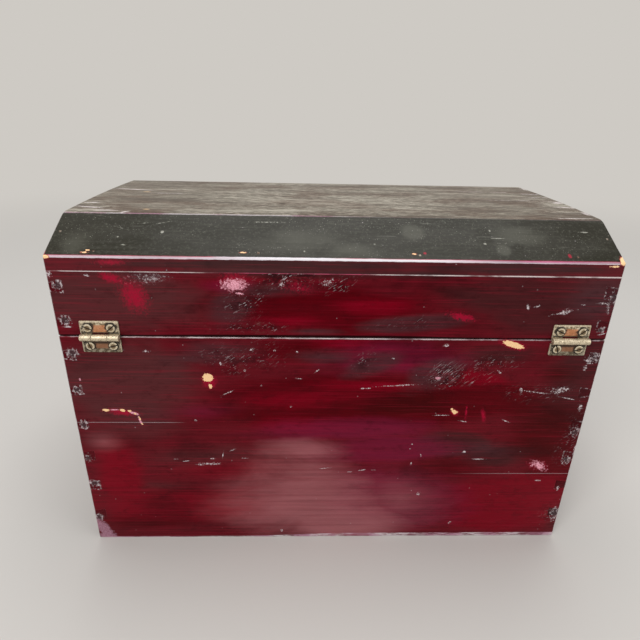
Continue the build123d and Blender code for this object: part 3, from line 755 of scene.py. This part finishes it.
def lacquerMaterial(name, stretch, woodStretch, above=None, fields=None, marks=None):
    # stretch draws the brush along the board; above is "slope" or "top" where black covers the board
    fields, marks = fields or {}, marks or {}
    material, shader = newMaterial(name)
    x, y, z = separate(opened["position"])
    strokes = useGroup(brushStrokes, Stretch=stretch)
    edges = useGroup(trunkEdges, Width=0.0009, Ragged=0.5)
    patches = speckle(24, 4, 0.62)
    grain = speckle(560, 5, 0.72, 0.3)
    thin = remap(speckle(1300, 3, 0.7), 0.36, 0.56, 0.42, 1.0)
    flaky = remap(speckle(820, 2, 0.6), 0.46, 0.56, 0.12, 1.0)
    colour = maroonColour(strokes, edges, fields)
    roughness = remap(strokes["Fine"], 0.25, 0.75, lacquer["roughness"] - 0.06, lacquer["roughness"] + 0.1)
    height = scaled(strokes["Fine"], 0.6, times(strokes["Hair"], 0.4))
    if above:
        onFace = remap(positive(x), halfWidth - 0.0002, halfWidth - 0.0006)
        blackness = times(edges["Above"], onFace)
        colour = painted(colour, blackness, blackColour(strokes, above == "top", marks))
        roughness = mixValues(blackness, roughness, lacquer["blackRoughness"])
    else:
        # Dark joints, with pale scuffs that follow them, and a painted shadow in the gap under the lid
        joints = useGroup(dovetails, Width=0.0009)
        colour = painted(colour, times(joints["Pin"], 0.35), "shade")
        scraped = times(joints["Line"], remap(grain, 0.5, 0.56), remap(patches, 0.42, 0.56), 0.75)
        colour = painted(colour, scraped, "scuff")
        height = scaled(joints["Line"], -0.6, height)
        # Painted shadow: a near-black band at the lid's lower edge, in the gap
        colour = painted(colour, remap(apart(z, lidBottom + 0.0004), 0.0009, 0.0005), "gap")

    # Wear: scuffs along the edges, then the marks, then bare wood where it is deepest
    shares = {"Arris": 0.5, "Corner": 0.6} if above else {"Bottom": 0.6, "Rim": 0.5, "Corner": 0.5}
    worn = most(*[times(edges[label], share) for label, share in shares.items()])
    worn = times(worn, remap(patches, 0.36, 0.56, 0.2, 1.0))
    wornColour = painted("mauve", remap(patches, 0.4, 0.55), "scuff")
    colour = painted(colour, worn, wornColour)
    chipped = worn
    strewn = most(
        maskOf(flecks, Scale=60, Share=0.25, Size=0.05), maskOf(flecks, Scale=150, Share=0.12, Size=0.1)
    )
    colour = painted(colour, times(strewn, 0.6), "scuff")
    if above:
        ridgeLine = useGroup(trunkEdges, Width=0.0013, Ragged=0.25)["Ridge"]
        ridgeLine = times(ridgeLine, remap(x, 0.05, -0.05, 0.1, 0.7), thin)
        colour = painted(colour, ridgeLine, wornColour)
    if fields:
        colour = seamColour(colour, edges, patches)
        colour = speckColour(colour, edges, patches, fields)
    if above == "slope" and marks:
        crisp = useGroup(trunkEdges, Width=0.0015, Ragged=0.14)["Arris"]
        crisp = times(crisp, remap(z, form["lowerArris"] + 0.003, form["lowerArris"] + 0.0016))
        crisp = times(crisp, remap(apart(x, 0.01), 0.15, 0.06, 0.8, 1.0))
        colour = bandColour(colour, crisp)
        chipped = most(chipped, crisp)
    if marks and above != "top":
        if marks["flaked"]:
            colour = flakedColour(colour, grain, marks["flaked"])
        for kind, share in coverage["marks"].items():
            if not marks[kind]:
                continue
            mask = times(spotMask(grain, marks[kind], 0.012 if above else 0.004), share)
            if kind in ("scuff", "pink", "mauve", "dust"):
                mask = times(mask, flaky if kind == "scuff" else thin)
            if kind == "bare":
                colour = painted(colour, remap(mask, 0.0, 0.25, 0.0, 0.9), "brightRed")
                mask = remap(mask, 0.25, 0.7)
            colour = painted(colour, mask, kind)
            if kind in ("pink", "bare", "mauve"):
                chipped = most(chipped, mask)
    roughness = mixValues(chipped, roughness, lacquer["chipRoughness"])

    # Bare wood inside, where the finish laps a little over the rims
    wood = useGroup(bareWood, Stretch=woodStretch, Light=lacquer["woodLight"], Dark=lacquer["woodDark"])
    lap = scaled(speckle(90, 3, 0.6), 0.006, -0.0005)
    inside = remap(minus(edges["Inside"], lap), 0.0, 0.0008)
    colour = painted(colour, inside, wood["Colour"])
    roughness = mixValues(inside, roughness, wood["Roughness"])
    height = mixValues(inside, scaled(chipped, -1.5, height), wood["Height"])
    feed(shader.inputs["Specular IOR Level"], lacquer["blackShine"] if above else lacquer["shine"])
    feed(shader.inputs["Specular Tint"], (1, 1, 1, 1) if above else lacquer["reflection"])
    feed(shader.inputs["Coat Weight"], lacquer["coat"])
    feed(shader.inputs["Coat Roughness"], lacquer["coatRoughness"])
    connect(shader, colour, roughness, height, lacquer["lift"])
    return material


alongX, alongY = (6, 60, 240), (60, 6, 240)  # how the brush is drawn out, then the wood's grain
grainX, grainY = (1, 8, 8), (8, 1, 8)
onBack = chosenMarks(backMarks, lambda x, z: z < 273.5)
onSlope = chosenMarks(backMarks, lambda x, z: z > 266)
atEnds = chosenMarks(backMarks, lambda x, z: abs(x) > 195 and z < 273.5)
endFields = chosenMarks(backFields, lambda x, z: abs(x) > 170)
stripFields = chosenMarks(backFields, lambda x, z: z > 256)
finishes = {
    "back": lacquerMaterial("backLacquer", alongX, grainX, fields=backFields, marks=onBack),
    "front": lacquerMaterial("frontLacquer", alongX, grainX),
    "end": lacquerMaterial("endLacquer", alongY, grainY, fields=endFields, marks=atEnds),
    "rearSlope": lacquerMaterial("rearSlopeLacquer", alongX, grainX, "slope", stripFields, onSlope),
    "frontSlope": lacquerMaterial("frontSlopeLacquer", alongX, grainX, "slope"),
    "top": lacquerMaterial("topLacquer", alongX, grainX, "top", marks=topMarks),
}
print("lacquer made")

# Metal, placed by the hinges of the frame
hingeSpan = [
    (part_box(name)[0].x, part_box(name)[1].x) for name in ("hinge_left_upper_leaf", "hinge_right_upper_leaf")
]
hingeLook = {
    "middles": [sum(span) / 2 for span in hingeSpan],
    "halfWidth": (hingeSpan[0][1] - hingeSpan[0][0]) / 2,
    "leafReach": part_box("hinge_left_upper_leaf")[1].z - hingeAxis.z,
    "screwSpread": 0.0088,  # screw from the middle of its hinge
    "screwHeight": 0.0076,
    "barrel": 0.00265,
    "bareHeight": 0.0066,  # middle of the bare patch
    "creaseShade": 0.0033,  # where the leaf leaves its barrel
    "cream": tone(226, 212, 184),
    "copper": tone(206, 138, 96),
    "olive": tone(122, 104, 78),
    "dull": tone(128, 108, 82),
    "grime": tone(40, 32, 24),
}


def hingeDistances():
    # Along and up from the middle of the nearer hinge, and out from its nearest screw and its axis
    x, y, z = separate(opened["position"])
    across = apart(x, mixValues(over(x, 0.0), *hingeLook["middles"]))
    up = minus(z, hingeAxis.z)
    fromScrew = hypotenuse(
        minus(across, hingeLook["screwSpread"]), minus(positive(up), hingeLook["screwHeight"])
    )
    return across, up, y, fromScrew, hypotenuse(minus(y, hingeAxis.y), up)


def hingeMaterial(name):
    # Dull brass leaves: grime round the screws, copper rubbed bare between them, painted shade along the
    # creases and a painted shadow under the barrel, and a pale barrel and far edge, worn brass painted
    # lighter also as a highlight
    material, shader = newMaterial(name)
    across, up, y, fromScrew, fromAxis = hingeDistances()
    patch = speckle(330, 5, 0.68)
    fine = speckle(1500, 3, 0.65)
    wobble = times(minus(patch, 0.5), 0.006)
    colour = painted(hingeLook["olive"], remap(patch, 0.42, 0.6), hingeLook["cream"])
    height = positive(up)
    fromBare = apart(height, hingeLook["bareHeight"])
    bare = times(remap(plus(across, wobble), 0.0068, 0.0052), remap(fromBare, 0.0038, 0.0026))
    colour = painted(colour, times(bare, 0.85), hingeLook["copper"])
    ring = remap(plus(fromScrew, wobble), 0.0056, 0.004, 0.0, 0.92)
    # Painted shade along the crease where each leaf leaves its barrel
    creaseShade = remap(apart(height, hingeLook["creaseShade"]), 0.0011, 0.0004, 0.0, 0.9)
    # Painted shadow under the barrel: dark on the lower leaf, strongest just below it
    low = times(remap(up, -0.0022, -0.0028), remap(up, -0.0066, -0.0052, 0.55, 0.92))
    # One dark mask: grime round the screws and in fine specks, with the painted shade and shadow
    dirt = most(ring, creaseShade, low, remap(fine, 0.54, 0.68, 0.0, 0.8))
    colour = painted(colour, dirt, hingeLook["grime"])
    # Pale cream at the far edge, the side edges and all over the barrel: worn brass, painted lighter also as
    # its highlight
    rubbedAndSheen = most(
        remap(up, hingeLook["leafReach"] - 0.0016, hingeLook["leafReach"] - 0.0008),
        remap(across, hingeLook["halfWidth"] - 0.0012, hingeLook["halfWidth"] - 0.0004, 0.0, 0.6),
        remap(fromAxis, hingeLook["barrel"] + 0.0005, hingeLook["barrel"] + 0.0002, 0.0, 0.95),
    )
    rubbedAndSheen = times(rubbedAndSheen, remap(fine, 0.6, 0.45, 0.3, 1.0))
    colour = painted(colour, rubbedAndSheen, hingeLook["cream"])
    dirt = times(dirt, minus(1.0, rubbedAndSheen))
    feed(shader.inputs["Metallic"], scaled(dirt, -0.6, 0.85))
    connect(shader, colour, scaled(dirt, 0.25, 0.5), scaled(fine, 0.6, patch), 0.00018)
    return material


def screwMaterial(name):
    # Old screws: a bright rim, a dull face, and darker deeper in, at the slot's floor and the foot of the
    # head
    material, shader = newMaterial(name)
    across, up, y, fromScrew, fromAxis = hingeDistances()
    patch = speckle(900, 4, 0.65)
    rim = times(remap(fromScrew, 0.0016, 0.0025), remap(patch, 0.36, 0.5, 0.4, 1.0))
    colour = painted(hingeLook["dull"], rim, hingeLook["cream"])
    # Darker deeper in: the slot's floor and the foot of the head
    deep = remap(y, -halfDepth - 0.002, -halfDepth - 0.0017)
    dirt = most(deep, remap(patch, 0.55, 0.68, 0.0, 0.7))
    colour = painted(colour, dirt, hingeLook["grime"])
    feed(shader.inputs["Metallic"], scaled(dirt, -0.7, 0.85))
    connect(shader, colour, scaled(dirt, 0.3, 0.42), patch, 0.0001)
    return material


def metalMaterial(name, bright, dull, grime, roughness):
    material, shader = newMaterial(name)
    patch = speckle(260, 4, 0.6)
    fine = speckle(1500, 3, 0.6)
    colour = painted(bright, remap(patch, 0.4, 0.62), dull)
    dirt = remap(scaled(fine, 0.5, times(patch, 0.5)), 0.5, 0.62)
    colour = painted(colour, times(dirt, 0.8), grime)
    rough = scaled(dirt, 0.3, roughness)
    feed(shader.inputs["Metallic"], scaled(dirt, -0.6, 0.95))
    connect(shader, colour, rough, plus(patch, times(fine, 0.4)), 0.0001)
    return material


hingeBrass = hingeMaterial("hingeBrass")
screwBrass = screwMaterial("screwBrass")
catchBrass = metalMaterial("catchBrass", tone(196, 160, 100), tone(160, 116, 70), tone(52, 38, 24), 0.34)
nailIron = metalMaterial("nailIron", tone(150, 140, 128), tone(96, 74, 60), tone(52, 30, 20), 0.55)
print("metal made")


# Pieces: the CAD nodes with their edges eased
def goTo(mode):
    bpy.ops.object.mode_set(mode=mode)


def deselectAll():
    if bpy.context.object and bpy.context.object.mode != "OBJECT":
        goTo("OBJECT")
    bpy.ops.object.select_all(action="DESELECT")


def activate(piece):
    deselectAll()
    piece.select_set(True)
    bpy.context.view_layer.objects.active = piece


def finishPiece(piece, body, material, nodeName):
    piece.data.materials.clear()
    piece.data.materials.append(material)
    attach(piece, body)
    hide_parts(nodeName)


def addModifier(piece, kind, **settings):
    activate(piece)
    bpy.ops.object.modifier_add(type=kind)
    made = piece.modifiers[-1]
    for key, value in settings.items():
        setattr(made, key, value)
    bpy.ops.object.modifier_apply(modifier=made.name)


easing = {
    "board": 0.00028,  # width of the eased edge
    "fitting": 0.0003,
    "join": 0.000002,  # points nearer than this become one
    "level": 0.00002,  # how near an edge lies to a seam that stays sharp
    "flat": 0.5,  # degrees, as the next two
    "sharp": 30,
    "smooth": 32,
}


def softenedCopy(nodeName, name, edgeWidth, keepSharp=()):
    # A merged copy of a CAD node with its sharp edges eased, but for those that lie in a seam
    activate(nodes[nodeName])
    bpy.ops.object.duplicate()
    piece = bpy.context.object
    piece.name = name
    piece.parent = None
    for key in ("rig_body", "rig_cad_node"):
        if key in piece:
            del piece[key]
    goTo("EDIT")
    bpy.ops.mesh.select_mode(type="VERT")
    bpy.ops.mesh.select_all(action="SELECT")
    bpy.ops.mesh.remove_doubles(threshold=easing["join"])
    bpy.ops.mesh.dissolve_limited(angle_limit=radians(easing["flat"]))
    bpy.ops.mesh.select_mode(type="EDGE")
    bpy.ops.mesh.select_all(action="DESELECT")
    bpy.ops.mesh.edges_select_sharp(sharpness=radians(easing["sharp"]))
    goTo("OBJECT")
    for edge in piece.data.edges:
        ends = [piece.data.vertices[v].co.z for v in edge.vertices]
        if any(all(abs(end - height) < easing["level"] for end in ends) for height in keepSharp):
            edge.select = False
    goTo("EDIT")
    bpy.ops.mesh.bevel(offset=edgeWidth, segments=2, affect="EDGES", clamp_overlap=True)
    goTo("OBJECT")
    low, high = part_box(nodeName)
    for vertex in piece.data.vertices:  # an eased edge stays within its board
        vertex.co = [min(max(value, low[axis]), high[axis]) for axis, value in enumerate(vertex.co)]
    bpy.ops.object.shade_smooth_by_angle(angle=radians(easing["smooth"]))
    addModifier(piece, "WEIGHTED_NORMAL", keep_sharp=True)
    return piece


seamHeights = (*form["backSeams"], form["endSeam"])
boards = {
    "base": {
        "back_plank_lower": "back", "back_plank_middle": "back", "back_plank_upper": "back",
        "front_plank_lower": "front", "front_plank_middle": "front", "front_plank_upper": "front",
        "left_plank_lower": "end", "left_plank_upper": "end", "right_plank_lower": "end",
        "right_plank_upper": "end", "bottom_board_rear": "back", "bottom_board_front": "front",
    },
    "lid": {
        "lid_rear_rail": "back", "lid_front_rail": "front", "lid_left_gable": "end",
        "lid_right_gable": "end", "lid_rear_slope": "rearSlope", "lid_front_slope": "frontSlope",
        "lid_top_board": "top",
    },
}
for body, dressed in boards.items():
    for nodeName, place in dressed.items():
        piece = softenedCopy(nodeName, "worn_" + nodeName, easing["board"], seamHeights)
        finishPiece(piece, body, finishes[place], nodeName)
print("boards made")

# Hinges: a sheet rolled round its pin, held by slotted screws
hinge = {
    "sheet": 0.0010,
    "knuckle": 0.00265,  # outer radius
    "middle": 0.0120,  # length of the middle knuckle
    "gap": 0.0003,
    "notch": 0.0004,
    "corner": 0.0010,
    "curl": 322,  # degrees
    "steps": 16,
    "ease": 0.00022,
    "join": 0.00001,
    "close": 0.0001,  # how near a point is to the place it is looked for
}
screw = {
    "sides": 32,
    "radius": 0.0033,
    "height": 0.0009,
    "dome": 0.00035,
    "domeSteps": ((0.0006, 0.6), (0.0008, 0.3), (0.0008, 0.1)),  # inset, and share of the dome
    "shank": 0.0012,
    "reach": 0.008,
    "slot": 0.0010,
    "slotDepth": 0.0007,
    "turns": {"upper": (25, -40), "lower": (70, -15)},  # degrees
}


def selectByPlace(piece, test, kind="VERT"):
    # Selects what passes the test, from object mode, and goes back to edit mode
    goTo("EDIT")
    bpy.ops.mesh.select_mode(type=kind)
    bpy.ops.mesh.select_all(action="DESELECT")
    goTo("OBJECT")
    mesh = piece.data
    for vertex in mesh.vertices if kind == "VERT" else ():
        vertex.select = test(vertex.co)
    for edge in mesh.edges if kind == "EDGE" else ():
        edge.select = all(test(mesh.vertices[v].co) for v in edge.vertices)
    for face in mesh.polygons if kind == "FACE" else ():
        face.select = test(face)
    goTo("EDIT")


def applyAll(piece):
    activate(piece)
    bpy.ops.object.transform_apply(location=True, rotation=True, scale=True)


def rolledLeaf(leafNode, pinNode, side, spans):
    # side is 1 for the lid's leaf; spans are the (low, high) along X of its own knuckles
    low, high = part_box(leafNode)
    axis = sum(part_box(pinNode), Vector()) / 2
    reach = high.z - axis.z if side > 0 else axis.z - low.z
    near, close = hinge["knuckle"] + hinge["notch"], hinge["close"]
    sheetY = -halfDepth - hinge["sheet"] / 2
    curlRadius = hinge["knuckle"] - hinge["sheet"] / 2
    deselectAll()
    middle = ((low.x + high.x) / 2, sheetY, axis.z + side * (reach + near) / 2)
    bpy.ops.mesh.primitive_plane_add(size=1, location=middle, rotation=(radians(90), 0, 0))
    piece = bpy.context.object
    piece.name = "rolled_" + leafNode
    piece.scale = (high.x - low.x, reach - near, 1)
    applyAll(piece)
    goTo("EDIT")
    for cut in sorted({edge for span in spans for edge in span if low.x + close < edge < high.x - close}):
        bpy.ops.mesh.select_all(action="SELECT")
        bpy.ops.mesh.bisect(plane_co=(cut, 0, 0), plane_no=(1, 0, 0))
    goTo("OBJECT")
    selectByPlace(
        piece,
        lambda co: abs(co.z - axis.z) > reach - close and (co.x < low.x + close or co.x > high.x - close),
    )
    bpy.ops.mesh.bevel(offset=hinge["corner"], segments=4, affect="VERTICES")
    goTo("OBJECT")
    for start, end in spans:
        selectByPlace(
            piece,
            lambda co: abs(abs(co.z - axis.z) - near) < close and start - close < co.x < end + close,
            "EDGE",
        )
        step = (0, axis.y + curlRadius - sheetY, -side * near)
        bpy.ops.mesh.extrude_region_move(TRANSFORM_OT_translate={"value": step})
        bpy.ops.mesh.spin(
            steps=hinge["steps"], angle=-side * radians(hinge["curl"]), center=(0, axis.y, axis.z),
            axis=(1, 0, 0),
        )
        goTo("OBJECT")
    goTo("EDIT")
    bpy.ops.mesh.select_all(action="SELECT")
    bpy.ops.mesh.remove_doubles(threshold=hinge["join"])
    bpy.ops.mesh.normals_make_consistent(inside=False)
    goTo("OBJECT")
    addModifier(piece, "SOLIDIFY", thickness=hinge["sheet"], offset=0)
    addModifier(
        piece, "BEVEL", width=hinge["ease"], segments=2, limit_method="ANGLE", angle_limit=radians(50)
    )
    bpy.ops.object.shade_smooth_by_angle(angle=radians(35))
    return piece


def slottedScrew(place, turn):
    # Domed head, seated at place and facing out of the back, with its shank
    deselectAll()
    bpy.ops.mesh.primitive_cylinder_add(
        vertices=screw["sides"], radius=screw["radius"], depth=screw["height"],
        location=place - Vector((0, screw["height"] / 2, 0)), rotation=(radians(90), 0, 0),
    )
    piece = bpy.context.object
    applyAll(piece)
    selectByPlace(piece, lambda face: face.normal.y < -0.9, "FACE")
    for inset, rise in screw["domeSteps"]:
        bpy.ops.mesh.inset(thickness=inset)
        bpy.ops.transform.translate(value=(0, -screw["dome"] * rise, 0))
    goTo("OBJECT")
    selectByPlace(piece, lambda face: face.normal.y > 0.9, "FACE")
    bpy.ops.mesh.inset(thickness=screw["radius"] - screw["shank"])
    bpy.ops.mesh.extrude_region_move(TRANSFORM_OT_translate={"value": (0, screw["reach"], 0)})
    goTo("OBJECT")
    top = place.y - screw["height"] - screw["dome"]
    deselectAll()
    bpy.ops.mesh.primitive_cube_add(
        size=1, location=(place.x, top, place.z), rotation=(0, radians(turn), 0),
        scale=(3 * screw["radius"], 2 * screw["slotDepth"], screw["slot"]),
    )
    cutter = bpy.context.object
    addModifier(piece, "BOOLEAN", object=cutter, operation="DIFFERENCE")
    bpy.data.objects.remove(cutter)
    activate(piece)
    bpy.ops.object.shade_smooth_by_angle(angle=radians(30))
    return piece


for place in ("hinge_left", "hinge_right"):
    low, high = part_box(f"{place}_upper_leaf")
    middle = (low.x + high.x) / 2
    halfMiddle = hinge["middle"] / 2
    outer = [(low.x, middle - halfMiddle - hinge["gap"]), (middle + halfMiddle + hinge["gap"], high.x)]
    inner = [(middle - halfMiddle, middle + halfMiddle)]
    for leafSide, side, spans, body in (("upper", 1, outer, "lid"), ("lower", -1, inner, "base")):
        leafNode = f"{place}_{leafSide}_leaf"
        leaf = rolledLeaf(leafNode, f"{place}_pin", side, spans)
        finishPiece(leaf, body, hingeBrass, leafNode)
        screwNode = f"{place}_{leafSide}_screws"
        low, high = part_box(screwNode)
        seat = -halfDepth - hinge["sheet"]
        pair = []
        for x, turn in zip((low.x + screw["radius"], high.x - screw["radius"]), screw["turns"][leafSide]):
            pair.append(slottedScrew(Vector((x, seat, (low.z + high.z) / 2)), turn))
        activate(pair[0])
        pair[1].select_set(True)
        bpy.ops.object.join()
        pair[0].name = "slotted_" + screwNode
        finishPiece(pair[0], body, screwBrass, screwNode)
    pin = softenedCopy(f"{place}_pin", f"eased_{place}_pin", easing["fitting"])
    finishPiece(pin, "base", hingeBrass, f"{place}_pin")
print("hinges made")

# Catch, nails and brads
bodies = frame["record"]["behaviour"]["bodies"]
for part in ("catch_hook", "catch_washer", "catch_pivot", "catch_peg"):
    piece = softenedCopy(part, "eased_" + part, easing["fitting"])
    body = next(name for name, members in bodies.items() if part in members)
    finishPiece(piece, body, catchBrass, part)
for nodeName, node in nodes.items():
    if "nails" in nodeName or "brads" in nodeName:
        node.data.materials.clear()
        node.data.materials.append(nailIron)
print("catch made, nails and brads painted")

# Floor, light and camera
stageLook = {
    "floor": tone(206, 202, 196),
    "floorSize": 14.0,
    "floorRoughness": 0.9,
    "floorShine": 0.1,
    "fade": (0.5, 2.2),  # how far off the floor begins to fade, and is gone
    "ambient": tone(236, 238, 242),
    "ambientStrength": 0.45,
    "aim": (0, 0, 0.15),
    "lamps": {  # place, size and power
        "keyLight": ((-1.1, -1.7, 1.7), (1.2, 0.9), 30.0),
        "fillLight": ((1.8, -1.2, 1.0), (1.2, 1.2), 10.0),
        "overheadLight": ((0.1, 0.5, 2.3), (1.8, 1.4), 26.0),
    },
}


def seenDirectly():
    path = addNode("ShaderNodeLightPath").outputs
    return most(path["Is Camera Ray"], path["Is Glossy Ray"], path["Is Transmission Ray"])


deselectAll()
bpy.ops.mesh.primitive_plane_add(size=stageLook["floorSize"], location=(0, 0, 0))
floor = bpy.context.object
floor.name = "floor"
floorMaterial, shader = newMaterial("floorPaint")
feed(shader.inputs["Base Color"], stageLook["floor"])
feed(shader.inputs["Roughness"], stageLook["floorRoughness"])
feed(shader.inputs["Specular IOR Level"], stageLook["floorShine"])
# Far off, the camera sees the floor run into the backdrop
seen = seenDirectly()
far = remap(vectorCalc("LENGTH", opened["position"]), *stageLook["fade"])
plain = addNode("ShaderNodeEmission", {"Color": stageLook["floor"], "Strength": 1.0})
runOut = addNode("ShaderNodeMixShader", {0: times(far, seen), 1: shader.outputs[0], 2: plain.outputs[0]})
feed(floorMaterial.node_tree.nodes["Material Output"].inputs[0], runOut.outputs[0])
floor.data.materials.append(floorMaterial)

world = bpy.data.worlds.new("studio")
bpy.context.scene.world = world
world.use_nodes = True
world.node_tree.nodes.clear()
openTree(world.node_tree)
seen = seenDirectly()
light = {"Color": stageLook["ambient"], "Strength": stageLook["ambientStrength"]}
ambient = addNode("ShaderNodeBackground", light)
backdrop = addNode("ShaderNodeBackground", {"Color": stageLook["floor"], "Strength": 1.0})
mixed = addNode("ShaderNodeMixShader", {0: seen, 1: ambient.outputs[0], 2: backdrop.outputs[0]})
addNode("ShaderNodeOutputWorld", {"Surface": mixed.outputs[0]})

for name, (place, size, power) in stageLook["lamps"].items():
    lamp = bpy.data.lights.new(name, "AREA")
    lamp.shape = "RECTANGLE"
    lamp.size, lamp.size_y = size
    lamp.energy = power
    holder = bpy.data.objects.new(name, lamp)
    bpy.context.scene.collection.objects.link(holder)
    holder.location = place
    holder.rotation_euler = (Vector(stageLook["aim"]) - Vector(place)).to_track_quat("-Z", "Y").to_euler()

shot = {
    "place": (-0.0261, -0.4850, 0.3768),
    "pitch": 23.35,  # degrees down
    "yaw": -2.03,
    "roll": 1.33,
    "lens": 28.13,
    "sensor": 36,
    "nearest": 0.01,
}
cameraData = bpy.data.cameras.new("camera")
cameraData.lens = shot["lens"]
cameraData.sensor_width = shot["sensor"]
cameraData.clip_start = shot["nearest"]
camera = bpy.data.objects.new("camera", cameraData)
bpy.context.scene.collection.objects.link(camera)
turn = (
    Matrix.Rotation(radians(shot["yaw"]), 4, "Z")
    @ Matrix.Rotation(radians(90 - shot["pitch"]), 4, "X")
    @ Matrix.Rotation(radians(shot["roll"]), 4, "Z")
)
camera.matrix_world = Matrix.Translation(shot["place"]) @ turn
bpy.context.scene.camera = camera
bpy.context.scene.view_settings.view_transform = "Standard"
print("stage made")
